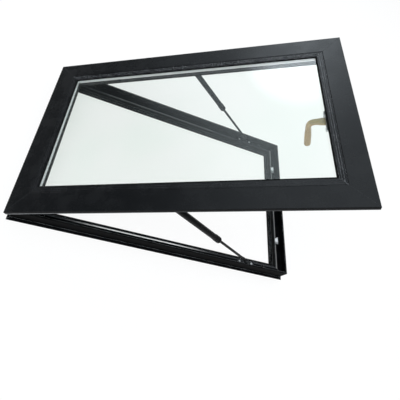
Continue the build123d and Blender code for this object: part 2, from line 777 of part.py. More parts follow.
def build_handle():
    """Rosette, lever, spindle, gearbox and follower."""
    wall_x = sash_start + sash_length - leg_inner
    spindle_z = face_z - spindle_depth
    facing = Pos(wall_x, handle_offset, spindle_z) * Rot(0, -90, 0)

    plate = extrude(Rot(0, 0, 90) * SlotOverall(rosette_length, rosette_height), rosette_thickness)
    plate = fillet(plate.edges().group_by(Axis.Z)[-1], rosette_edge)
    plate -= Cylinder(spindle_hole_radius, 3 * rosette_thickness)
    screws = []
    screw_depth = rosette_thickness - small_head_height + leg_wall
    for end in (-1, 1):
        place = Pos(0, end * rosette_screw_offset(), rosette_thickness - small_head_height)
        plate -= place * rising_cylinder(small_head_radius + spindle_fit, rosette_thickness)
        plate -= place * Cylinder(small_screw_radius, 3 * rosette_thickness)
        screws.append(place * screw(screw_depth, small_screw_radius, small_head_radius,
                                    small_head_height))
    save(opened(facing * plate), "handle_rosette")
    save(opened(group([facing * piece for piece in screws])), "rosette_screws")

    start = rosette_thickness + rosette_gap
    axis_height = start + neck_length
    lean = math.radians(lever_lean)
    hang = Vector(-math.cos(lean), 0, -math.sin(lean))
    lever_end = Vector(0, 0, axis_height) + hang * lever_length
    path = FilletPolyline((0, 0, start), (0, 0, axis_height), lever_end, radius=lever_bend)
    lever = sweep(Pos(0, 0, start) * Ellipse(lever_half_width, lever_half_thickness), path)
    tip = scale(Sphere(1), by=(lever_half_width, lever_half_thickness, lever_half_width))
    tip = split(tip, Plane(origin=(0, 0, 0), z_dir=hang), keep=Keep.TOP)
    lever += Pos(lever_end) * tip
    root = Ellipse(neck_root_half_width, neck_root_half_thickness)
    throat = Ellipse(lever_half_width + spindle_fit, lever_half_thickness + spindle_fit)
    lever += loft([Pos(0, 0, start) * root, Pos(0, 0, start + neck_taper) * throat])
    socket_depth = neck_length / 2
    lever -= Pos(0, 0, start + socket_depth / 2) * Box(
        spindle_side + spindle_fit, spindle_side + spindle_fit, socket_depth)
    save(opened(facing * lever), "handle_lever")

    chamber_start = leg_outer + slot_depth + slot_floor_wall
    chamber_depth = leg_inner - leg_wall - chamber_start
    spindle_start = -leg_wall - chamber_depth + 2 * gearbox_fit
    spindle_length = start + socket_depth - spindle_fit - spindle_start
    spindle = Pos(0, 0, spindle_start + spindle_length / 2) * Box(
        spindle_side, spindle_side, spindle_length)
    save(opened(facing * spindle), "handle_spindle")

    gear_radius = gear_pitch_radius + gear_module
    housing_height = leg_depth - seat_depth - seat_thickness - 2 * leg_wall - 2 * gearbox_fit
    housing_middle = (leg_depth + seat_depth + seat_thickness) / 2 - spindle_depth
    housing_depth = chamber_depth - 2 * gearbox_fit
    housing_z = -leg_wall - chamber_depth / 2
    housing = Pos(-housing_middle, 0, housing_z) * Box(housing_height, gearbox_length, housing_depth)
    housing -= Pos(0, 0, housing_z) * Cylinder(gear_radius + gearbox_fit, 2 * housing_depth)
    save(opened(facing * housing), "lock_gearbox")
    follower = Pos(0, 0, housing_z) * Cylinder(gear_radius, housing_depth)
    follower -= Pos(0, 0, housing_z) * Box(
        spindle_side + spindle_fit, spindle_side + spindle_fit, 2 * housing_depth)
    save(opened(facing * follower), "lock_follower")


def build_lock():
    """Lock bar with its two cams, and the keepers on the frame."""
    leg_x = sash_start + sash_length - leg_outer
    bar_z = face_z - slot_middle
    bar_thickness = slot_depth - slot_lip - lock_bar_fit
    bar_middle = leg_x - slot_lip - lock_bar_fit / 2 - bar_thickness / 2
    bar_height = slot_width - 2 * lock_bar_fit
    shift = bar_travel
    bar = Pos(bar_middle, shift, bar_z) * Box(bar_thickness, lock_bar_length, bar_height)
    cams = []
    for centre in keeper_places():
        y = centre + shift
        hole = Pos(bar_middle, y, bar_z) * Rot(0, 90, 0)
        bar -= hole * Cylinder(cam_stem_radius, 3 * bar_thickness)
        tail = Pos(bar_middle - bar_thickness / 2, y, bar_z) * Rot(0, 90, 0)
        tip = leg_x + cam_reach
        stem_length = tip - bar_middle + bar_thickness / 2
        cam = tail * rising_cylinder(cam_stem_radius, stem_length)
        head = Pos(tip - cam_head_length, y, bar_z) * Rot(0, 90, 0)
        cams.append(cam + head * rising_cylinder(cam_radius, cam_head_length))
    save(opened(bar), "lock_bar")
    save(opened(group(cams)), "lock_cams")

    wall = frame_length / 2 - keeper_wall
    tongue_low = bar_z + cam_radius + keeper_clearance
    top = tongue_low + keeper_thickness
    profile = polygon([
        (frame_length / 2 - keeper_foot, channel_height),
        (wall, channel_height), (wall, tongue_low),
        (frame_length / 2 - keeper_reach, tongue_low),
        (frame_length / 2 - keeper_reach, top), (wall + keeper_thickness, top),
        (wall + keeper_thickness, channel_height + keeper_thickness),
        (frame_length / 2 - keeper_foot, channel_height + keeper_thickness),
    ])
    for name, centre in zip(("near", "far"), keeper_places()):
        plane = Plane(origin=(0, centre, 0), x_dir=(1, 0, 0), z_dir=(0, -1, 0))
        keeper = extrude(plane * profile, keeper_length / 2, both=True)
        entry = cam_radius + keeper_clearance
        entry_length = keeper_length / 2 - entry
        keeper -= Pos(wall - keeper_reach / 2, centre + entry + entry_length / 2, tongue_low) * Box(
            keeper_reach, entry_length, 4 * keeper_thickness)
        for x, y in keeper_screw_places():
            keeper -= Pos(x, y, channel_height) * Cylinder(
                small_screw_radius, 3 * keeper_thickness)
        save(keeper, "keeper_" + name)
    screws = [Pos(x, y, channel_height + keeper_thickness) * small_screw()
              for x, y in keeper_screw_places()]
    save(group(screws), "keeper_screws")


def main():
    """Write every node."""
    os.makedirs("parts", exist_ok=True)
    build_frame()
    build_hinges()
    build_sash()
    build_glass()
    build_brackets()
    build_struts()
    build_handle()
    build_lock()
    pivot_x, pivot_z, slope, length = strut_pose()
    print("hinge axis", hinge_x, hinge_z, "strut pivot", pivot_x, pivot_z)
    print("strut slope", slope, "length", length, "bar travel", bar_travel)


main()
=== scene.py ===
import json
import logging
import math
from collections.abc import Callable, Sequence
from dataclasses import dataclass, field
from enum import Enum

import bpy
from mathutils import Matrix, Vector


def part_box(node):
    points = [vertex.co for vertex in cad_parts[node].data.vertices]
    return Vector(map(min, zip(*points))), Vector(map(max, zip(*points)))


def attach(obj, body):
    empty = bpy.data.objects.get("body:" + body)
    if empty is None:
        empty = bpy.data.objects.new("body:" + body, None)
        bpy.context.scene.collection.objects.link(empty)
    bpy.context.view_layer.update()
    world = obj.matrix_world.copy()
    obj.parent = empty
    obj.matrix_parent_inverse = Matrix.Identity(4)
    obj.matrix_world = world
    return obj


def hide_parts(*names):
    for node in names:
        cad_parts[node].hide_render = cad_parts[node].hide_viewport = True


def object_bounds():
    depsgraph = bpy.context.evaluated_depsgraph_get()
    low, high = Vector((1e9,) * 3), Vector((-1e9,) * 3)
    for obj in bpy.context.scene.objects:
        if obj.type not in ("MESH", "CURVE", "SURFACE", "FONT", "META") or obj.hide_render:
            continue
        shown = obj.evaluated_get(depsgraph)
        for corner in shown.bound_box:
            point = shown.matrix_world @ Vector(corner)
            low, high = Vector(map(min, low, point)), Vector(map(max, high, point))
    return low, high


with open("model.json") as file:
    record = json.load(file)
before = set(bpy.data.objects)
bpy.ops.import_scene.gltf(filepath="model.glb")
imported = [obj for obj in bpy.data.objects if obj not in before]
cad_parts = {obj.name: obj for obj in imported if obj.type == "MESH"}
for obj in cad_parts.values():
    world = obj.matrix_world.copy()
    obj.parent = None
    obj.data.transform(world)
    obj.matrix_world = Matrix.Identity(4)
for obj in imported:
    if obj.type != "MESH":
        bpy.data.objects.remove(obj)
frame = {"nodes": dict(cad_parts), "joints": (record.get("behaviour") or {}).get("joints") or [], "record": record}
cad_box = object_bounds()

log = logging.getLogger("skylight")

MM = 0.001
PHOTO_PIXELS = 400
NOISE_MIDDLE = 0.5
EDGE_SAMPLES = 6
CREASE = math.radians(35.0)

# Numbers of a colour mixer's sockets, whose names aren't unique
MIX_SHARE, MIX_FIRST, MIX_SECOND, MIX_RESULT = 0, 6, 7, 2

Colour = tuple[float, float, float, float]
Triple = tuple[float, float, float]
Span = tuple[float, float]


class Output(Enum):
    """Where the shader of a node sheet goes."""

    MATERIAL = "ShaderNodeOutputMaterial"
    WORLD = "ShaderNodeOutputWorld"


class Ray(Enum):
    """Kinds of light rays that a material may tell apart."""

    CAMERA = "Is Camera Ray"
    GLOSSY = "Is Glossy Ray"
    THROUGH = "Is Transmission Ray"
    SHADOW = "Is Shadow Ray"


class Side(Enum):
    """The two sides of the skylight, as the camera stands."""

    NEAR = "near"
    FAR = "far"

    @property
    def outward(self) -> float:
        """Sign of Y on the way out from the middle."""
        return -1.0 if self is Side.NEAR else 1.0


class Element(Enum):
    """What a selection in edit mode is made of."""

    VERTEX = "VERT"
    FACE = "FACE"


class Signal:
    """A shader socket that takes part in Python arithmetic."""

    def __init__(self, sheet: "Sheet", socket: bpy.types.NodeSocket) -> None:
        """Wrap a socket.

        Args:
            sheet: The node sheet that the socket lies on.
            socket: The output that gives the value.
        """
        self.sheet = sheet
        self.socket = socket

    def __add__(self, other: "Signal | float") -> "Signal":
        """Sum."""
        return self.sheet.math("ADD", self, other)

    def __radd__(self, other: float) -> "Signal":
        """Sum with a plain number on the left."""
        return self.sheet.math("ADD", other, self)

    def __sub__(self, other: "Signal | float") -> "Signal":
        """Difference."""
        return self.sheet.math("SUBTRACT", self, other)

    def __rsub__(self, other: float) -> "Signal":
        """Difference from a plain number."""
        return self.sheet.math("SUBTRACT", other, self)

    def __mul__(self, other: "Signal | float") -> "Signal":
        """Product."""
        return self.sheet.math("MULTIPLY", self, other)

    def __rmul__(self, other: float) -> "Signal":
        """Product with a plain number on the left."""
        return self.sheet.math("MULTIPLY", other, self)

    def __pow__(self, other: float) -> "Signal":
        """Power."""
        return self.sheet.math("POWER", self, other)

    def larger(self, other: "Signal") -> "Signal":
        """The larger of two signals."""
        return self.sheet.math("MAXIMUM", self, other)

    def smaller(self, other: "Signal") -> "Signal":
        """The smaller of two signals."""
        return self.sheet.math("MINIMUM", self, other)

    def distance(self) -> "Signal":
        """Size without its sign."""
        return self.sheet.math("ABSOLUTE", self)

    def repeat(self, pitch: float) -> "Signal":
        """Distance to the nearest multiple of a pitch."""
        return self.sheet.math("PINGPONG", self, pitch / 2)

    def swing(self, reach: float) -> "Signal":
        """Noise as a drift to both sides of 0."""
        return (self - NOISE_MIDDLE) * reach

    def rise(self, low: float, high: float) -> "Signal":
        """Smooth step from 0 at low to 1 at high.

        Args:
            low: Value below which the result is 0.
            high: Value above which the result is 1.

        Returns:
            The stepped signal.
        """
        settings = {"interpolation_type": "SMOOTHSTEP"}
        sockets = {"Value": self, "From Min": low, "From Max": high}
        return self.sheet.node("ShaderNodeMapRange", settings, sockets, "Result")


Value = Signal | float | Sequence[float]


class Sheet:
    """The node sheet of one material or of the world."""

    def __init__(self, tree: bpy.types.NodeTree) -> None:
        """Clear a node tree and take it over.

        Args:
            tree: The tree to fill.
        """
        self.tree = tree
        tree.nodes.clear()

    def make(self, kind: str, settings: dict | None = None,
             sockets: dict | None = None) -> bpy.types.Node:
        """Make one node.

        Args:
            kind: Blender's name of the node type.
            settings: Properties of the node, such as a Math node's operation.
            sockets: Values or signals for its inputs, by name or number.

        Returns:
            The node.
        """
        made = self.tree.nodes.new(kind)
        for name, value in (settings or {}).items():
            setattr(made, name, value)
        for name, value in (sockets or {}).items():
            if isinstance(value, Signal):
                self.tree.links.new(value.socket, made.inputs[name])
            else:
                made.inputs[name].default_value = value
        return made

    def node(self, kind: str, settings: dict | None = None, sockets: dict | None = None,
             output: str | int = 0) -> Signal:
        """One output of a new node, by its name or number."""
        return Signal(self, self.make(kind, settings, sockets).outputs[output])

    def math(self, operation: str, *values: Signal | float) -> Signal:
        """Math node over one to three values."""
        return self.node("ShaderNodeMath", {"operation": operation}, dict(enumerate(values)))

    def dot(self, first: Signal, second: Signal | Triple) -> Signal:
        """Dot product of two vectors."""
        settings = {"operation": "DOT_PRODUCT"}
        return self.node("ShaderNodeVectorMath", settings, {0: first, 1: second}, "Value")

    def ray(self, kind: Ray) -> Signal:
        """1 for rays of that kind and 0 for the others."""
        return self.node("ShaderNodeLightPath", output=kind.value)

    def place(self, tilt: float = 0.0) -> Signal:
        """Object coordinates.

        Args:
            tilt: Angle about Y by which they are turned back.

        Returns:
            The place on the piece, in metres.
        """
        spot = self.node("ShaderNodeTexCoord", output="Object")
        if tilt == 0.0:
            return spot
        return self.node("ShaderNodeMapping", sockets={"Vector": spot, "Rotation": (0.0, tilt, 0.0)})

    def axes(self, vector: Signal) -> tuple[Signal, Signal, Signal]:
        """The X, Y and Z of a vector as three signals."""
        parts = self.make("ShaderNodeSeparateXYZ", sockets={0: vector}).outputs
        return Signal(self, parts[0]), Signal(self, parts[1]), Signal(self, parts[2])

    def noise(self, spot: Signal, grain: float, detail: float = 2.0,
              stretch: Triple = (1.0, 1.0, 1.0)) -> Signal:
        """Noise of a given grain size.

        Args:
            spot: The place to read it at, in metres.
            grain: Size of one blotch, in metres.
            detail: Number of finer layers on top.
            stretch: Factor on each axis, under 1 to draw the blotches out.

        Returns:
            A value that wanders about NOISE_MIDDLE.
        """
        if stretch != (1.0, 1.0, 1.0):
            spot = self.node("ShaderNodeMapping", sockets={"Vector": spot, "Scale": stretch})
        sockets = {"Vector": spot, "Scale": 1.0 / grain, "Detail": detail}
        return self.node("ShaderNodeTexNoise", sockets=sockets)

    def blend(self, share: Signal, first: Value, second: Value) -> Signal:
        """Colour between two colours, the second where the share is 1."""
        sockets = {MIX_SHARE: share, MIX_FIRST: first, MIX_SECOND: second}
        return self.node("ShaderNodeMix", {"data_type": "RGBA"}, sockets, MIX_RESULT)

    def bump(self, height: Signal, depth: float, under: Signal | None = None) -> Signal:
        """Surface normal that follows a height.

        Args:
            height: Height from 0 to 1.
            depth: Depth of a height of 1, in metres.
            under: A normal to build on.

        Returns:
            The normal.
        """
        sockets = {"Height": height, "Distance": depth, "Strength": 1.0}
        if under is not None:
            sockets["Normal"] = under
        return self.node("ShaderNodeBump", sockets=sockets)

    def principled(self, **sockets: Value) -> Signal:
        """Principled shader, its sockets named with underscores for spaces."""
        named = {name.replace("_", " "): value for name, value in sockets.items()}
        return self.node("ShaderNodeBsdfPrincipled", sockets=named)

    def layer(self, share: Signal, first: Signal, second: Signal) -> Signal:
        """Shader between two shaders, the second where the share is 1."""
        return self.node("ShaderNodeMixShader", sockets={0: share, 1: first, 2: second})

    def surface(self, shader: Signal, output: Output = Output.MATERIAL) -> None:
        """Send a shader to the sheet's output."""
        self.make(output.value, sockets={"Surface": shader})


def grey(level: float) -> Colour:
    """Neutral colour of a linear level."""
    return (level, level, level, 1.0)


def tint(red: float, green: float, blue: float) -> Colour:
    """Opaque colour from three linear values."""
    return (red, green, blue, 1.0)


@dataclass(frozen=True)
class Finish:
    """A surface finish. Each kind has its own shader method."""

    name: str

    def make(self) -> bpy.types.Material:
        """Build the material.

        Returns:
            The finished material.
        """
        material = bpy.data.materials.new(self.name)
        material.use_nodes = True
        sheet = Sheet(material.node_tree)
        sheet.surface(self.shader(sheet))
        return material

    def shader(self, sheet: Sheet) -> Signal:
        """Shader of the finish, made on a material's sheet."""
        raise NotImplementedError


@dataclass(frozen=True)
class DripHighlight:
    """Painted highlight along the lower edge of the cover's drip, brightest at the hinge end."""

    level: float
    half_height: float = 0.8 * MM
    gone_at: float = 1.2 * MM
    outer_skin: Span = (302.5 * MM, 303 * MM)
    bright_until: float = -480 * MM
    faint_from: float = -250 * MM
    faintest: float = 0.2
    # Colour of the painted highlight.
    colour: Colour = tint(0.62, 0.62, 0.63)

    def share(self, sheet: Sheet, up: Triple) -> Signal:
        """Where the line lies.

        Args:
            sheet: The finish's sheet.
            up: The direction that the cover's outer face looks in.

        Returns:
            1 on the line and 0 off it.
        """
        spot = sheet.place()
        along, across, _ = sheet.axes(spot)
        off = (sheet.dot(spot, up) - self.level).distance()
        line = 1.0 - off.rise(self.half_height, self.gone_at)
        outside = across.distance().rise(*self.outer_skin)
        highlight_strength = 1.0 - along.rise(self.bright_until, self.faint_from) * (1.0 - self.faintest)
        return line * outside * highlight_strength


@dataclass(frozen=True)
class PowderCoat(Finish):
    """Black powder coat on aluminium: fine orange peel, soft sheen, rubbed edges with a painted highlight."""

    colour: Colour = tint(0.0045, 0.0049, 0.0056)
    worn: Colour = tint(0.0075, 0.0080, 0.0088)
    cloud: float = 60 * MM
    cloud_detail: float = 3.0
    worn_clouds: Span = (0.35, 0.75)
    peel: float = 0.9 * MM
    peel_depth: float = 0.004 * MM
    edge: float = 0.9 * MM
    edge_turn: Span = (0.02, 0.22)
    edge_clouds: Span = (0.25, 0.6)
    edge_least: float = 0.5
    edge_wear_and_highlight_colour: Colour = tint(0.3, 0.31, 0.33)
    up: Triple = (0.0, 0.0, 1.0)
    top_faces: Span = (0.35, 0.7)
    shine: float = 0.4
    roughness: float = 0.27
    cloud_roughness: float = 0.16
    peel_roughness: float = 0.06
    side_shine: float = 0.05
    side_roughness: float = 0.6
    side_cloud_roughness: float = 0.1
    drip: DripHighlight | None = None

    def shader(self, sheet: Sheet) -> Signal:
        """Coat that shines on top; its sides are a copy with its reflection nearly taken away, a painted shade.

        Args:
            sheet: The material's sheet.

        Returns:
            The shader.
        """
        spot = sheet.place()
        cloud = sheet.noise(spot, self.cloud, self.cloud_detail)
        peel = sheet.noise(spot, self.peel)
        rounded = sheet.node("ShaderNodeBevel", {"samples": EDGE_SAMPLES}, {"Radius": self.edge})
        flat = sheet.node("ShaderNodeNewGeometry", output="Normal")
        turned = 1.0 - sheet.dot(rounded, flat)
        patches = self.edge_least + (1.0 - self.edge_least) * cloud.rise(*self.edge_clouds)
        # Edges found by the Bevel node get rubbed wear and a painted highlight in the edge colour.
        edge_wear_and_highlight = turned.rise(*self.edge_turn) * patches
        colour = sheet.blend(cloud.rise(*self.worn_clouds), self.colour, self.worn)
        colour = sheet.blend(edge_wear_and_highlight, colour, self.edge_wear_and_highlight_colour)
        # Painted highlight along the drip's lower edge.
        if self.drip is not None:
            colour = sheet.blend(self.drip.share(sheet, self.up), colour, self.drip.colour)
        skin = sheet.bump(peel, self.peel_depth, rounded)
        polished = sheet.principled(
            Base_Color=colour,
            Roughness=self.roughness + cloud.swing(self.cloud_roughness)
            + peel.swing(self.peel_roughness),
            Specular_IOR_Level=self.shine,
            Normal=skin,
        )
        # The sides' copy is rougher and has almost no reflection: a painted shade.
        dull = sheet.principled(
            Base_Color=colour,
            Roughness=self.side_roughness + cloud.swing(self.side_cloud_roughness),
            Specular_IOR_Level=self.side_shine,
            Normal=skin,
        )
        facing = sheet.dot(sheet.node("ShaderNodeTexCoord", output="Normal"), self.up)
        return sheet.layer(facing.rise(*self.top_faces), dull, polished)


@dataclass(frozen=True)
class Rubber(Finish):
    """Black sealing rubber: dull, with a bloom of fine dust."""

    colour: Colour = grey(0.004)
    bloom: Colour = grey(0.011)
    dust: float = 9 * MM
    dust_detail: float = 4.0
    dusty: Span = (0.45, 0.8)
    dust_roughness: float = 0.2
    skin: float = 0.5 * MM
    skin_depth: float = 0.02 * MM
    roughness: float = 0.68
    shine: float = 0.12

    def shader(self, sheet: Sheet) -> Signal:
        """Dull rubber with dust in patches.

        Args:
            sheet: The material's sheet.

        Returns:
            The shader.
        """
        spot = sheet.place()
        dust = sheet.noise(spot, self.dust, self.dust_detail)
        return sheet.principled(
            Base_Color=sheet.blend(dust.rise(*self.dusty), self.colour, self.bloom),
            Roughness=self.roughness + dust.swing(self.dust_roughness),
            Specular_IOR_Level=self.shine,
            Normal=sheet.bump(sheet.noise(spot, self.skin), self.skin_depth),
        )


@dataclass(frozen=True)
class PaneGlass(Finish):
    """Clear float glass with a faint green cast. Lamps shine through it."""

    colour: Colour = tint(0.98, 1.0, 0.988)
    cloud: Colour = tint(0.958, 0.992, 0.972)
    drift: float = 220 * MM
    drift_detail: float = 1.0
    cloudy: Span = (0.3, 0.7)
    refraction: float = 1.42

    def shader(self, sheet: Sheet) -> Signal:
        """Glass to the eye, and a clear filter to the lamps.

        Args:
            sheet: The material's sheet.

        Returns:
            The shader.
        """
        drift = sheet.noise(sheet.place(), self.drift, self.drift_detail)
        glass = sheet.principled(
            Base_Color=sheet.blend(drift.rise(*self.cloudy), self.colour, self.cloud),
            Roughness=0.0,
            IOR=self.refraction,
            Transmission_Weight=1.0,
        )
        clear = sheet.node("ShaderNodeBsdfTransparent", sockets={"Color": self.colour})
        return sheet.layer(sheet.ray(Ray.SHADOW), glass, clear)


@dataclass(frozen=True)
class Metal(Finish):
    """Bare or plated metal with fine drawing lines, a little tarnish, and painted shade in its hollows."""

    colour: Colour = grey(0.6)
    stain: Colour = grey(0.45)
    patch: float = 14 * MM
    patch_detail: float = 3.0
    stained: Span = (0.35, 0.8)
    lines: Triple = (1.0, 1.0, 1.0)
    line_grain: float = 0.4 * MM
    line_depth: float = 0.006 * MM
    hollow_shade: Colour = grey(0.08)
    hollow: float = 16 * MM
    open_air: Span = (0.25, 0.8)
    metallic: float = 1.0
    roughness: float = 0.3
    patch_roughness: float = 0.14
    line_roughness: float = 0.12
    shine: float = 0.5

    def shader(self, sheet: Sheet) -> Signal:
        """Drawn metal, stained in patches.

        Args:
            sheet: The material's sheet.

        Returns:
            The shader.
        """
        spot = sheet.place()
        patch = sheet.noise(spot, self.patch, self.patch_detail)
        line = sheet.noise(spot, self.line_grain, stretch=self.lines)
        # Ambient occlusion darkens the colour in hollows and near other parts: painted shade.
        openness = sheet.node("ShaderNodeAmbientOcclusion", {"samples": EDGE_SAMPLES},
                              {"Distance": self.hollow}, "AO")
        colour = sheet.blend(patch.rise(*self.stained), self.colour, self.stain)
        return sheet.principled(
            Base_Color=sheet.blend(openness.rise(*self.open_air), self.hollow_shade, colour),
            Metallic=self.metallic,
            Roughness=self.roughness + patch.swing(self.patch_roughness)
            + line.swing(self.line_roughness),
            Specular_IOR_Level=self.shine,
            Normal=sheet.bump(line, self.line_depth),
        )


@dataclass(frozen=True)
class SpacerBar(Finish):
    """Bright spacer bar of the glass unit, with rows of tiny breathing holes."""

    tilt: float = 0.0
    colour: Colour = tint(0.98, 0.98, 0.98)
    hole_colour: Colour = grey(0.25)
    pitch: float = 4 * MM
    hole: float = 0.45 * MM
    hole_rim: float = 0.72 * MM
    haze: float = 20 * MM
    roughness: float = 0.34
    haze_roughness: float = 0.12

    def shader(self, sheet: Sheet) -> Signal:
        """Hazy bar with a grid of holes.

        Args:
            sheet: The material's sheet.

        Returns:
            The shader.
        """
        spot = sheet.place(self.tilt)
        along, across, _ = sheet.axes(spot)
        gap = along.repeat(self.pitch) ** 2.0 + across.repeat(self.pitch) ** 2.0
        pinhole = 1.0 - gap.rise(self.hole ** 2, self.hole_rim ** 2)
        return sheet.principled(
            Base_Color=sheet.blend(pinhole, self.colour, self.hole_colour),
            Roughness=self.roughness + sheet.noise(spot, self.haze).swing(self.haze_roughness),
        )


@dataclass(frozen=True)
class PaintedHighlightTrim(Finish):
    """Painted highlight on the channel strip: bright along the near side's middle, duller at the lock end and
    beyond.
    """

    # Colours of the painted highlight and of the strip away from it.
    bright: Colour = tint(1.0, 0.96, 0.94)
    dull: Colour = tint(0.045, 0.046, 0.05)
    middle: float = -80 * MM
    highlight_reach: float = 90 * MM
    dull_reach: float = 270 * MM
    wander: float = 60 * MM
    far_side: float = 100 * MM
    far_dullness: float = 0.85
    lock_end: Span = (460 * MM, 464 * MM)
    lock_end_dullness: float = 0.7
    patch: float = 30 * MM
    patch_detail: float = 3.0
    metallic: float = 0.4
    roughness: float = 0.34
    patch_roughness: float = 0.2
    dull_roughness: float = 0.15

    def shader(self, sheet: Sheet) -> Signal:
        """Bright painted highlight that fades with the distance from its middle stretch.

        Args:
            sheet: The material's sheet.

        Returns:
            The shader.
        """
        spot = sheet.place()
        along, across, _ = sheet.axes(spot)
        patch = sheet.noise(spot, self.patch, self.patch_detail)
        away = (along - self.middle).distance() + patch.swing(self.wander)
        shaded = across.rise(0.0, self.far_side) * self.far_dullness
        lock_end = along.rise(*self.lock_end) * (1.0 - self.lock_end_dullness)
        # Painted highlight: bright in the middle of the near side, fading away from it, on the far side and at the
        # lock end.
        out_of_highlight = away.rise(self.highlight_reach, self.dull_reach).larger(shaded).smaller(1.0 - lock_end)
        return sheet.principled(
            Base_Color=sheet.blend(out_of_highlight, self.bright, self.dull),
            Metallic=self.metallic,
            Roughness=self.roughness + patch.swing(self.patch_roughness)
            + out_of_highlight * self.dull_roughness,
        )


@dataclass(frozen=True)
class Plastic(Finish):
    """Moulded plastic or sealant: even colour, soft surface."""

    colour: Colour = grey(0.02)
    second: Colour = grey(0.03)
    flow: float = 11 * MM
    flow_detail: float = 3.0
    flow_marks: Span = (0.35, 0.7)
    flow_roughness: float = 0.18
    skin: float = 0.7 * MM
    skin_depth: float = 0.015 * MM
    roughness: float = 0.5

    def shader(self, sheet: Sheet) -> Signal:
        """Plastic with faint flow marks.

        Args:
            sheet: The material's sheet.

        Returns:
            The shader.
        """
        spot = sheet.place()
        flow = sheet.noise(spot, self.flow, self.flow_detail)
        return sheet.principled(
            Base_Color=sheet.blend(flow.rise(*self.flow_marks), self.colour, self.second),
            Roughness=self.roughness + flow.swing(self.flow_roughness),
            Normal=sheet.bump(sheet.noise(spot, self.skin), self.skin_depth),
        )


@dataclass(frozen=True)
class PaleFloor(Finish):
    """Plain pale floor that shows white and keeps the object's shadow."""

    colour: Colour = grey(0.92)
    roughness: float = 0.9
    glow: float = 1.02
    shadow_share: float = 0.13

    def shader(self, sheet: Sheet) -> Signal:
        """White where it is seen, matt to all other light.

        Args:
            sheet: The material's sheet.

        Returns:
            The shader.
        """
        matt = sheet.principled(Base_Color=self.colour, Roughness=self.roughness)
        white = {"Color": grey(1.0), "Strength": self.glow}
        light = sheet.node("ShaderNodeEmission", sockets=white)
        seen = sheet.ray(Ray.CAMERA).larger(sheet.ray(Ray.GLOSSY)).larger(sheet.ray(Ray.THROUGH))
        return sheet.layer(seen * (1.0 - self.shadow_share), matt, light)


@dataclass(frozen=True)
class Glow:
    """A soft bright place in the sky."""

    side: Triple
    start: float
    level: float


@dataclass(frozen=True)
class Lamp:
    """A large soft round lamp that looks at the middle of the object's foot."""

    name: str
    place: Triple
    size: float
    watts: float

    def hang(self) -> None:
        """Hang the lamp, unseen in mirrors and through glass."""
        light = bpy.data.lights.new(self.name, "AREA")
        light.shape = "DISK"
        light.size = self.size
        light.energy = self.watts
        lamp = bpy.data.objects.new(self.name, light)
        lamp.location = self.place
        lamp.rotation_euler = (-Vector(self.place)).to_track_quat("-Z", "Y").to_euler()
        lamp.visible_glossy = False
        lamp.visible_transmission = False
        bpy.context.collection.objects.link(lamp)


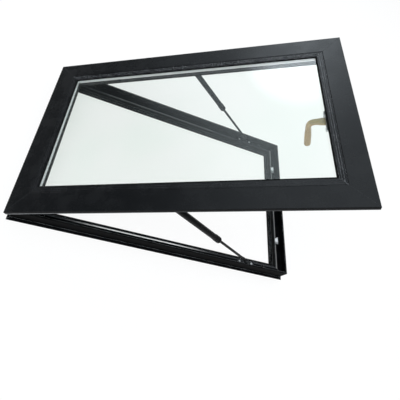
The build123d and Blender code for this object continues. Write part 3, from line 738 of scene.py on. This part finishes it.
@dataclass
class Studio:
    """Floor, soft light and the camera of the photograph."""

    floor_reach: float = 30.0
    eye: Triple = (-0.3651, -0.6902, 1.1375)
    heading: float = math.radians(28.37)
    look_down: float = math.radians(50.51)
    roll: float = math.radians(40.4)
    focal_pixels: float = 350.0
    centre_pixels: Span = (191.0, 155.0)
    sensor: float = 36.0
    nearest: float = 10 * MM
    low_level: float = 0.08
    high_level: float = 0.85
    bright_heights: Span = (0.45, 0.85)
    white_until: Span = (0.05, 0.15)
    sky: Colour = tint(0.9, 1.0, 1.08)
    glows: tuple[Glow, ...] = (
        Glow(side=(-0.36, 0.78, 0.51), start=0.9135, level=0.5),
        Glow(side=(-0.28, 0.77, 0.58), start=0.986, level=3.3),
    )
    lamps: tuple[Lamp, ...] = (
        Lamp("key", place=(-1.6, -1.2, 3.0), size=1.8, watts=62.0),
        Lamp("fill", place=(1.8, 1.6, 2.6), size=2.2, watts=34.0),
    )

    def build(self) -> None:
        """Make the floor, the light and the camera."""
        bpy.context.scene.view_settings.view_transform = "Standard"
        self.lay_floor()
        self.light_world()
        for lamp in self.lamps:
            lamp.hang()
        self.set_camera()

    def lay_floor(self) -> None:
        """Lay a plane at the object's lowest level."""
        deselect()
        foot = cad_box[0].z
        bpy.ops.mesh.primitive_plane_add(size=self.floor_reach, location=(0.0, 0.0, foot))
        floor = bpy.context.object
        floor.name = "floor"
        settle(floor)
        floor.data.materials.append(PaleFloor("pale_floor").make())

    def light_world(self) -> None:
        """Set a soft sky that grows brighter towards one side, and is white where it is seen."""
        world = bpy.data.worlds.new("studio")
        bpy.context.scene.world = world
        world.use_nodes = True
        sheet = Sheet(world.node_tree)
        direction = sheet.node("ShaderNodeTexCoord", output="Generated")
        _, _, height = sheet.axes(direction)
        level = self.low_level + height.rise(*self.bright_heights) * (self.high_level - self.low_level)
        for glow in self.glows:
            facing = sheet.dot(direction, tuple(Vector(glow.side).normalized()))
            level = level + facing.rise(glow.start, 1.0) * glow.level
        sky = sheet.node("ShaderNodeBackground", sockets={"Color": self.sky, "Strength": level})
        white = sheet.node("ShaderNodeBackground", sockets={"Color": grey(1.0), "Strength": 1.0})
        through = sheet.ray(Ray.THROUGH) * (1.0 - height.rise(*self.white_until))
        sheet.surface(sheet.layer(sheet.ray(Ray.CAMERA).larger(through), sky, white), Output.WORLD)

    def set_camera(self) -> None:
        """Set the camera at the photograph's place, angle and framing."""
        flat = math.cos(self.look_down)
        forward = Vector((math.sin(self.heading) * flat, math.cos(self.heading) * flat,
                          -math.sin(self.look_down)))
        level = Vector((math.cos(self.heading), -math.sin(self.heading), 0.0))
        rise = level.cross(forward)
        right = level * math.cos(self.roll) + rise * math.sin(self.roll)
        up = right.cross(forward)
        turned = Matrix((right, up, -forward)).transposed().to_4x4()
        camera = bpy.data.objects.new("camera", bpy.data.cameras.new("camera"))
        camera.matrix_world = Matrix.Translation(self.eye) @ turned
        lens = camera.data
        lens.sensor_width = self.sensor
        lens.lens = self.sensor * self.focal_pixels / PHOTO_PIXELS
        middle = PHOTO_PIXELS / 2
        lens.shift_x = (middle - self.centre_pixels[0]) / PHOTO_PIXELS
        lens.shift_y = (self.centre_pixels[1] - middle) / PHOTO_PIXELS
        lens.clip_start = self.nearest
        bpy.context.collection.objects.link(camera)
        bpy.context.scene.camera = camera


def deselect() -> None:
    """Leave edit mode and deselect everything."""
    if bpy.context.object is not None and bpy.context.object.mode != "OBJECT":
        bpy.ops.object.mode_set(mode="OBJECT")
    bpy.ops.object.select_all(action="DESELECT")


def select_only(piece: bpy.types.Object) -> None:
    """Select one piece and make it the active one, in object mode.

    Args:
        piece: The piece.
    """
    deselect()
    piece.select_set(True)
    bpy.context.view_layer.objects.active = piece


def settle(piece: bpy.types.Object) -> None:
    """Move a piece's place into its mesh, so that its object sits at the origin."""
    select_only(piece)
    bpy.ops.object.transform_apply(location=True, rotation=True, scale=True)


def edit_all() -> None:
    """Edit the active piece with all of it selected."""
    bpy.ops.object.mode_set(mode="EDIT")
    bpy.ops.mesh.select_all(action="SELECT")


def face_outwards() -> None:
    """Turn all faces of the piece in edit mode outwards."""
    bpy.ops.mesh.select_all(action="SELECT")
    bpy.ops.mesh.normals_make_consistent(inside=False)


def pull(move: Sequence[float]) -> None:
    """Extrude what is selected by a vector."""
    bpy.ops.mesh.extrude_region_move(TRANSFORM_OT_translate={"value": move})


def pick(piece: bpy.types.Object, element: Element, wanted: Callable[[Vector], bool]) -> None:
    """Select the vertices or faces of a piece that lie where they are wanted.

    Args:
        piece: The active piece, in object or edit mode. It ends in edit mode.
        element: What is selected.
        wanted: Says of a place whether what lies there is selected.
    """
    bpy.ops.object.mode_set(mode="EDIT")
    bpy.ops.mesh.select_mode(type=element.value)
    bpy.ops.mesh.select_all(action="DESELECT")
    bpy.ops.object.mode_set(mode="OBJECT")
    if element is Element.FACE:
        for face in piece.data.polygons:
            face.select = wanted(face.center)
    else:
        for vertex in piece.data.vertices:
            vertex.select = wanted(vertex.co)
    bpy.ops.object.mode_set(mode="EDIT")


def round_off(piece: bpy.types.Object, levels: int) -> None:
    """Subdivide a piece smoothly.

    Args:
        piece: The piece.
        levels: How many times it is subdivided.
    """
    select_only(piece)
    smooth = piece.modifiers.new("smooth", "SUBSURF")
    smooth.levels = levels
    smooth.render_levels = levels
    bpy.ops.object.modifier_apply(modifier=smooth.name)
    bpy.ops.object.shade_smooth()


def joint_named(name: str) -> dict:
    """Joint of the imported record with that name."""
    return next(joint for joint in frame["joints"] if joint["name"] == name)


def frame_along(direction: Vector, place: Sequence[float], start: float) -> Matrix:
    """Frame with Z along a direction, Y as the row's and X towards the row's up.

    Args:
        direction: Direction of Z, in the row's XZ plane.
        place: A point on Z.
        start: How far beyond that point the frame's origin lies, in metres.

    Returns:
        The frame's matrix.
    """
    outward = direction.normalized()
    across = Vector((0.0, 1.0, 0.0))
    up = across.cross(outward)
    turned = Matrix((up, across, outward)).transposed().to_4x4()
    return Matrix.Translation(Vector(place) + outward * start) @ turned


def handle_frame(start: float = 0.0) -> Matrix:
    """Frame on the handle's spindle, Z out of the rail."""
    joint = joint_named("handle_turn")
    return frame_along(-Vector(joint["axis"]), joint["pos_m"], start)


def strut_frame(side: Side, start: float) -> Matrix:
    """Frame on a strut's line, Z from the sash's pin towards the rod.

    Args:
        side: The side that the strut is on.
        start: How far from the pin its origin lies, in metres.

    Returns:
        The frame's matrix.
    """
    slide = joint_named(side.value + "_strut_slide")
    swing = joint_named(side.value + "_strut_swing")
    return frame_along(Vector(slide["axis"]), swing["pos_m"], start)


@dataclass
class Wardrobe:
    """The finish of every slot of the record, put on the CAD nodes."""

    tilt: float
    beads_with_edge_highlight: tuple[str, ...] = ("bead_lock", "bead_far")
    drip_above_pivot: float = 4.6 * MM
    made: dict[str, bpy.types.Material] = field(default_factory=dict)

    @property
    def sash_up(self) -> Triple:
        """Direction that the sash's outer face looks in, as it is stored."""
        return (math.sin(self.tilt), 0.0, math.cos(self.tilt))

    @property
    def drip_level(self) -> float:
        """Level of the drip's lower edge along the sash's up."""
        pivot = Vector(joint_named("sash_hinge")["pos_m"])
        return pivot.dot(Vector(self.sash_up)) + self.drip_above_pivot

    def finishes(self) -> tuple[Finish, ...]:
        """List the finishes, each under its slot's name or its own.

        Returns:
            The finishes.
        """
        return (
            # The edge colours paint highlights along the coats' edges, together with rubbed wear.
            PowderCoat("frame_black", colour=tint(0.0022, 0.0024, 0.0028),
                       worn=tint(0.0042, 0.0045, 0.005), shine=0.05, side_shine=0.02,
                       edge=1.0 * MM, edge_wear_and_highlight_colour=tint(0.62, 0.64, 0.66)),
            PaintedHighlightTrim("strip_aluminium"),
            PowderCoat("sash_black", up=self.sash_up, edge=0.6 * MM,
                       edge_wear_and_highlight_colour=tint(0.1, 0.105, 0.115), drip=DripHighlight(self.drip_level)),
            PowderCoat("bead_black", up=self.sash_up, edge=0.5 * MM,
                       edge_wear_and_highlight_colour=tint(0.8, 0.83, 0.88), shine=0.35),
            PowderCoat("hardware_black", colour=tint(0.010, 0.0105, 0.011), roughness=0.36,
                       peel=0.5 * MM),
            Metal("cleat_aluminium", colour=grey(0.62), roughness=0.36),
            Rubber("seal_rubber"),
            PaneGlass("pane_glass"),
            SpacerBar("spacer_silver", tilt=self.tilt),
            Plastic("edge_sealant", colour=grey(0.012), second=grey(0.02)),
            Plastic("block_plastic", colour=grey(0.05), second=grey(0.07)),
            Metal("zinc_steel", colour=tint(0.74, 0.75, 0.79), stain=grey(0.56), metallic=0.55),
            Metal("keeper_steel", colour=tint(0.82, 0.83, 0.85), stain=grey(0.68), metallic=0.35,
                  lines=(1.0, 0.1, 1.0)),
            Metal("strut_black", colour=tint(0.005, 0.0052, 0.006), stain=grey(0.009),
                  roughness=0.26, metallic=0.0, shine=0.06),
            Metal("rod_steel", colour=grey(0.006), stain=grey(0.004), roughness=0.2,
                  metallic=0.1, shine=0.1),
            Metal("strut_fitting", colour=grey(0.03), stain=grey(0.02), roughness=0.38,
                  metallic=0.5, shine=0.3),
            Metal("handle_champagne", colour=tint(0.58, 0.385, 0.195),
                  stain=tint(0.48, 0.315, 0.15), roughness=0.4, metallic=0.2, shine=0.12,
                  hollow_shade=tint(0.37, 0.27, 0.11), hollow=24 * MM, lines=(1.0, 0.15, 1.0)),
        )

    def dress(self) -> None:
        """Make the materials, and put each slot's on the nodes that use it."""
        self.made = {finish.name: finish.make() for finish in self.finishes()}
        for part in frame["record"]["subparts"]:
            node = frame["nodes"][part["node"]]
            # These beads get the coat whose bright edge colour paints highlights along their edges.
            finish = "bead_black" if part["node"] in self.beads_with_edge_highlight else part["material_slot"]
            for slot in node.material_slots:
                slot.material = self.made[finish]
            log.info("%s wears %s", part["node"], finish)

    def fit(self, piece: bpy.types.Object, slot: str, body: str, *stands_for: str,
            finish: str = "") -> None:
        """Finish a new piece and hang it on its body.

        Args:
            piece: The piece, in its place.
            slot: The record's slot whose finish it gets.
            body: The body that it rides on.
            stands_for: The CAD nodes that it replaces.
            finish: The finish, where it isn't the slot's own.
        """
        worn = finish or slot
        piece.data.materials.clear()
        piece.data.materials.append(self.made[worn])
        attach(piece, body)
        if stands_for:
            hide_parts(*stands_for)
        log.info("%s wears %s and rides on %s", piece.name, worn, body)


@dataclass(frozen=True)
class Station:
    """One ring on the way along a drawn-out piece."""

    step: float
    turn: float
    half_width: float
    half_depth: float


def turned_rings(shape: Sequence[tuple[float, float]], length: float) -> list[Station]:
    """Rings of a shape that is turned on a lathe.

    Args:
        shape: Each ring's share of the length, and its radius.
        length: The length that a share of 1 stands for.

    Returns:
        The rings in order.
    """
    rings = []
    before = 0.0
    for share, radius in shape:
        rings.append(Station((share - before) * length, 0.0, radius, radius))
        before = share
    return rings


def eased(first: float, second: float, share: float) -> float:
    """Value between two, that leaves the first and meets the second softly."""
    return first + (second - first) * (share * share * (3 - 2 * share))


@dataclass
class DrawnPiece:
    """A round piece pulled out of one circle, ring by ring, and then smoothed."""

    name: str
    sides: int = 16
    smoothing: int = 2

    def draw(self, stations: Sequence[Station]) -> bpy.types.Object:
        """Pull the piece out along +Z, bending towards -X.

        Args:
            stations: The rings in order. The first one is the circle's own size.

        Returns:
            The smoothed piece, at the origin.
        """
        deselect()
        bpy.ops.mesh.primitive_circle_add(vertices=self.sides, radius=1.0, fill_type="NGON")
        piece = bpy.context.object
        piece.name = self.name
        edit_all()
        last = stations[0]
        bpy.ops.transform.resize(value=(last.half_width, last.half_depth, 1.0))
        centre = Vector((0.0, 0.0, 0.0))
        heading = 0.0
        for ring in stations[1:]:
            middle = heading + ring.turn / 2
            move = Vector((-math.sin(middle), 0.0, math.cos(middle))) * ring.step
            pull(move)
            centre = centre + move
            heading = heading + ring.turn
            if ring.turn != 0.0:
                bpy.ops.transform.rotate(value=ring.turn, orient_axis="Y", orient_type="GLOBAL",
                                         center_override=centre)
            wider = ring.half_width / last.half_width
            deeper = ring.half_depth / last.half_depth
            bpy.ops.transform.resize(value=(wider, deeper, wider), center_override=centre)
            last = ring
        face_outwards()
        round_off(piece, self.smoothing)
        return piece


@dataclass
class Lever:
    """Lever handle: a neck that tapers from its root, a soft bend and a club-shaped grip."""

    root: float = 11.3 * MM
    length: float = 104 * MM
    neck_length: float = 46.5 * MM
    crisp: float = 0.5 * MM
    root_band: float = 1.5 * MM
    root_face: float = 0.94
    root_half_width: float = 9.8 * MM
    root_half_depth: float = 13.0 * MM
    taper: float = 24 * MM
    taper_shares: tuple[float, ...] = (0.3, 0.65, 1.0)
    elbow_half_width: float = 8.3 * MM
    elbow_half_depth: float = 9.8 * MM
    bend_radius: float = 17 * MM
    bend_angle: float = math.radians(92.0)
    bend_rings: int = 7
    grip_half_width: float = 10.5 * MM
    grip_half_depth: float = 8.4 * MM
    grip_fullest: float = 0.5
    grip_rings: int = 6
    tip_rings: int = 4
    tip_blunt: float = 0.4

    def neck(self) -> list[Station]:
        """Rings of the neck, up to where the bend begins.

        Returns:
            The rings in order.
        """
        rings = [
            Station(0.0, 0.0, self.root_half_width * self.root_face,
                    self.root_half_depth * self.root_face),
            Station(self.crisp, 0.0, self.root_half_width, self.root_half_depth),
            Station(self.root_band, 0.0, self.root_half_width, self.root_half_depth),
        ]
        for share in self.taper_shares:
            rings.append(Station(self.taper / len(self.taper_shares), 0.0,
                                 eased(self.root_half_width, self.elbow_half_width, share),
                                 eased(self.root_half_depth, self.elbow_half_depth, share)))
        straight = self.neck_length - self.tangent - sum(ring.step for ring in rings)
        if straight > 0.0:
            rings.append(Station(straight, 0.0, self.elbow_half_width, self.elbow_half_depth))
        return rings

    def bend(self) -> list[Station]:
        """Rings of the bend.

        Returns:
            The rings in order.
        """
        turn = self.bend_angle / self.bend_rings
        chord = 2 * self.bend_radius * math.sin(turn / 2)
        ring = Station(chord, turn, self.elbow_half_width, self.elbow_half_depth)
        return [ring] * self.bend_rings

    def grip(self) -> list[Station]:
        """Rings of the grip and its round tip.

        Returns:
            The rings in order.
        """
        rings = []
        step = (self.length - self.tangent) / self.grip_rings
        for number in range(1, self.grip_rings + 1):
            share = min(1.0, number / self.grip_rings / self.grip_fullest)
            rings.append(Station(step, 0.0,
                                 eased(self.elbow_half_width, self.grip_half_width, share),
                                 eased(self.elbow_half_depth, self.grip_half_depth, share)))
        part = math.pi / 2 / (self.tip_rings + self.tip_blunt)
        for number in range(1, self.tip_rings + 1):
            angle = number * part
            step = self.grip_half_width * (math.sin(angle) - math.sin(angle - part))
            rings.append(Station(step, 0.0, self.grip_half_width * math.cos(angle),
                                 self.grip_half_depth * math.cos(angle)))
        return rings

    @property
    def tangent(self) -> float:
        """Length that the bend takes off each of the two straight legs."""
        return self.bend_radius * math.tan(self.bend_angle / 2)

    def build(self, wardrobe: Wardrobe) -> None:
        """Model the lever and put it on the handle's spindle.

        Args:
            wardrobe: The finishes.
        """
        lever = DrawnPiece("lever").draw(self.neck() + self.bend() + self.grip())
        lever.matrix_world = handle_frame(self.root)
        settle(lever)
        wardrobe.fit(lever, "handle_champagne", "handle", "handle_lever")


@dataclass
class RosetteCover:
    """Snap-on cover of the handle's rosette, with a saddle for the neck and crowned ends."""

    half_width: float = 10 * MM
    length: float = 72 * MM
    wall: float = 9.4 * MM
    wall_shares: tuple[float, ...] = (0.06, 0.84, 0.1)
    thickness: float = 11 * MM
    rim_shares: tuple[Span, ...] = ((0.55, 0.95), (0.35, 0.85), (0.1, 0.55))
    crown: float = 3 * MM
    saddle: float = 15 * MM
    saddle_room: float = 1.1
    end_share: float = 0.85
    top_from: float = 0.95
    middle_band: float = 0.1
    sides: int = 24
    smoothing: int = 2

    def build(self, wardrobe: Wardrobe) -> None:
        """Model the cover and set it on the lock-end rail.

        Args:
            wardrobe: The finishes.
        """
        deselect()
        bpy.ops.mesh.primitive_circle_add(vertices=self.sides, radius=self.half_width,
                                          fill_type="NGON")
        cover = bpy.context.object
        cover.name = "rosette_cover"
        stretch = self.length / 2 - self.half_width
        band = self.half_width * self.middle_band
        for sign in (-1.0, 1.0):
            pick(cover, Element.VERTEX, lambda spot, sign=sign: spot.y * sign > band)
            bpy.ops.transform.translate(value=(0.0, sign * stretch, 0.0))
        bpy.ops.mesh.select_all(action="SELECT")
        rim = self.thickness - self.wall
        rings = [(self.wall * share, 1.0) for share in self.wall_shares]
        rings += [(rim * share, narrowing) for share, narrowing in self.rim_shares]
        for rise, narrowing in rings:
            pull((0.0, 0.0, rise))
            longer = 1.0 - (1.0 - narrowing) * self.half_width / (self.length / 2)
            bpy.ops.transform.resize(value=(narrowing, longer, 1.0),
                                     center_override=(0.0, 0.0, 0.0))
        for sign in (-1.0, 1.0):
            for place in (self.saddle, stretch * self.end_share):
                bpy.ops.mesh.select_all(action="SELECT")
                bpy.ops.mesh.bisect(plane_co=(0.0, sign * place, 0.0), plane_no=(0.0, 1.0, 0.0))
        end = self.saddle * self.saddle_room
        top = self.wall * self.top_from
        pick(cover, Element.VERTEX, lambda spot: abs(spot.y) > end and spot.z > top)
        bpy.ops.transform.translate(value=(0.0, 0.0, self.crown))
        face_outwards()
        round_off(cover, self.smoothing)
        cover.matrix_world = handle_frame()
        settle(cover)
        wardrobe.fit(cover, "zinc_steel", "sash", "handle_rosette", "rosette_screws")


@dataclass
class HighlightStrip:
    """Thin strip on the floor of the frame's channel, beside the gasket, put there to carry a painted highlight.

    It stops on each side of the keepers, the hinge leaves and the strut brackets.
    """

    inner_half_length: float = 462.6 * MM
    inner_half_width: float = 270.4 * MM
    width: float = 3.4 * MM
    height: float = 0.5 * MM
    floor: float = 28 * MM
    edge: float = 0.2 * MM
    edge_segments: int = 2
    stops: tuple[str, ...] = ("keeper", "hinge_frame_leaf", "strut_frame_bracket")
    room: float = 2 * MM

    def build(self, wardrobe: Wardrobe) -> None:
        """Model the strip and lay it in the channel.

        Args:
            wardrobe: The finishes.
        """
        deselect()
        bpy.ops.mesh.primitive_plane_add(size=2.0, location=(0.0, 0.0, self.floor))
        strip = bpy.context.object
        strip.name = "channel_strip"
        strip.scale = (self.inner_half_length + self.width, self.inner_half_width + self.width, 1.0)
        settle(strip)
        edit_all()
        bpy.ops.mesh.inset(thickness=self.width, use_even_offset=True)
        bpy.ops.mesh.delete(type="FACE")
        gaps = [self.gap(stop + "_" + side.value) for stop in self.stops for side in Side]
        for corners in gaps:
            for corner in corners:
                for axis in ((1.0, 0.0, 0.0), (0.0, 1.0, 0.0)):
                    bpy.ops.mesh.select_all(action="SELECT")
                    bpy.ops.mesh.bisect(plane_co=corner, plane_no=axis)
        pick(strip, Element.FACE,
             lambda spot: any(low.x < spot.x < high.x and low.y < spot.y < high.y
                              for low, high in gaps))
        bpy.ops.mesh.delete(type="FACE")
        bpy.ops.mesh.select_all(action="SELECT")
        pull((0.0, 0.0, self.height))
        face_outwards()
        bpy.ops.mesh.select_mode(type="VERT")
        select_only(strip)
        softened = strip.modifiers.new("softened", "BEVEL")
        softened.width = self.edge
        softened.segments = self.edge_segments
        bpy.ops.object.modifier_apply(modifier=softened.name)
        bpy.ops.object.shade_smooth_by_angle(angle=CREASE)
        wardrobe.fit(strip, "cleat_aluminium", "frame", finish="strip_aluminium")

    def gap(self, node: str) -> tuple[Vector, Vector]:
        """Room that a node in the channel needs.

        Args:
            node: The node's name.

        Returns:
            The room's lowest and highest corners.
        """
        low, high = (Vector(corner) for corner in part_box(node))
        room = Vector((self.room, self.room, 0.0))
        return low - room, high + room


@dataclass
class Collar:
    """Guide collar at the lower end of a strut's tube, with two turned grooves."""

    start: float = 248 * MM
    length: float = 30 * MM
    tube_radius: float = 10 * MM
    radius: float = 11.3 * MM
    groove: float = 0.7 * MM
    shoulder: float = 0.93
    nose: float = 0.78
    wiper_radius: float = 6.2 * MM

    def stations(self) -> list[Station]:
        """Rings from the tube's end to the wiper at the rod.

        Returns:
            The rings in order.
        """
        full = self.radius
        cut = self.radius - self.groove
        return turned_rings((
            (0.00, self.tube_radius), (0.01, cut), (0.04, full), (0.22, full), (0.24, cut),
            (0.28, cut), (0.30, full), (0.42, full), (0.44, cut), (0.48, cut), (0.50, full),
            (0.86, full), (0.94, full * self.shoulder), (0.985, full * self.nose),
            (1.00, self.wiper_radius),
        ), self.length)

    def build(self, side: Side, wardrobe: Wardrobe) -> None:
        """Model the collar of one strut.

        Args:
            side: The side that the strut is on.
            wardrobe: The finishes.
        """
        name = side.value
        collar = DrawnPiece("collar_" + name, sides=24, smoothing=1).draw(self.stations())
        collar.matrix_world = strut_frame(side, self.start)
        settle(collar)
        wardrobe.fit(collar, "strut_black", name + "_strut_tube", "strut_collar_" + name)


@dataclass
class BallSocket:
    """Moulded socket at a rod's lower end: nut, neck and a ball cut flat at the bracket."""

    pin_to_stud: float = 489.33 * MM
    reach: float = 27 * MM
    shank: float = 6.0 * MM
    chamfer: float = 0.9
    neck: float = 5.3 * MM
    ball: float = 8.6 * MM
    ball_degrees: tuple[float, ...] = (-48, -25, 0, 25, 48, 68, 82)
    flat: float = 4.0 * MM

    def stations(self) -> list[Station]:
        """Rings from the rod to the ball's far side.

        Returns:
            The rings in order.
        """
        rings = turned_rings((
            (0.0, self.shank * self.chamfer), (0.02, self.shank), (0.06, self.shank),
            (0.36, self.shank), (0.4, self.shank), (0.42, self.neck), (0.52, self.neck),
        ), self.reach)
        drawn = sum(ring.step for ring in rings)
        for degrees in self.ball_degrees:
            angle = math.radians(degrees)
            place = self.reach + self.ball * math.sin(angle)
            radius = self.ball * math.cos(angle)
            rings.append(Station(place - drawn, 0.0, radius, radius))
            drawn = place
        return rings

    def build(self, side: Side, wardrobe: Wardrobe) -> None:
        """Model the socket of one strut.

        Args:
            side: The side that the strut is on.
            wardrobe: The finishes.
        """
        name = side.value
        socket = DrawnPiece("socket_" + name, smoothing=1).draw(self.stations())
        edit_all()
        bpy.ops.mesh.bisect(plane_co=(0.0, side.outward * self.flat, 0.0),
                            plane_no=(0.0, side.outward, 0.0), use_fill=True, clear_outer=True)
        face_outwards()
        select_only(socket)
        bpy.ops.object.shade_smooth_by_angle(angle=CREASE)
        socket.matrix_world = strut_frame(side, self.pin_to_stud - self.reach)
        settle(socket)
        wardrobe.fit(socket, "strut_fitting", name + "_strut_rod", "strut_socket_" + name)


def sash_tilt() -> float:
    """Angle by which the stored sash stands open, from the hinge's range."""
    return math.radians(min(joint_named("sash_hinge")["range_deg"]))


def main() -> None:
    """Dress the skylight and set up its studio."""
    logging.basicConfig(level=logging.INFO, format="%(name)s: %(message)s")
    wardrobe = Wardrobe(tilt=sash_tilt())
    wardrobe.dress()
    Lever().build(wardrobe)
    RosetteCover().build(wardrobe)
    HighlightStrip().build(wardrobe)
    for side in Side:
        Collar().build(side, wardrobe)
        BallSocket().build(side, wardrobe)
    Studio().build()


if __name__ == "__main__":
    main()
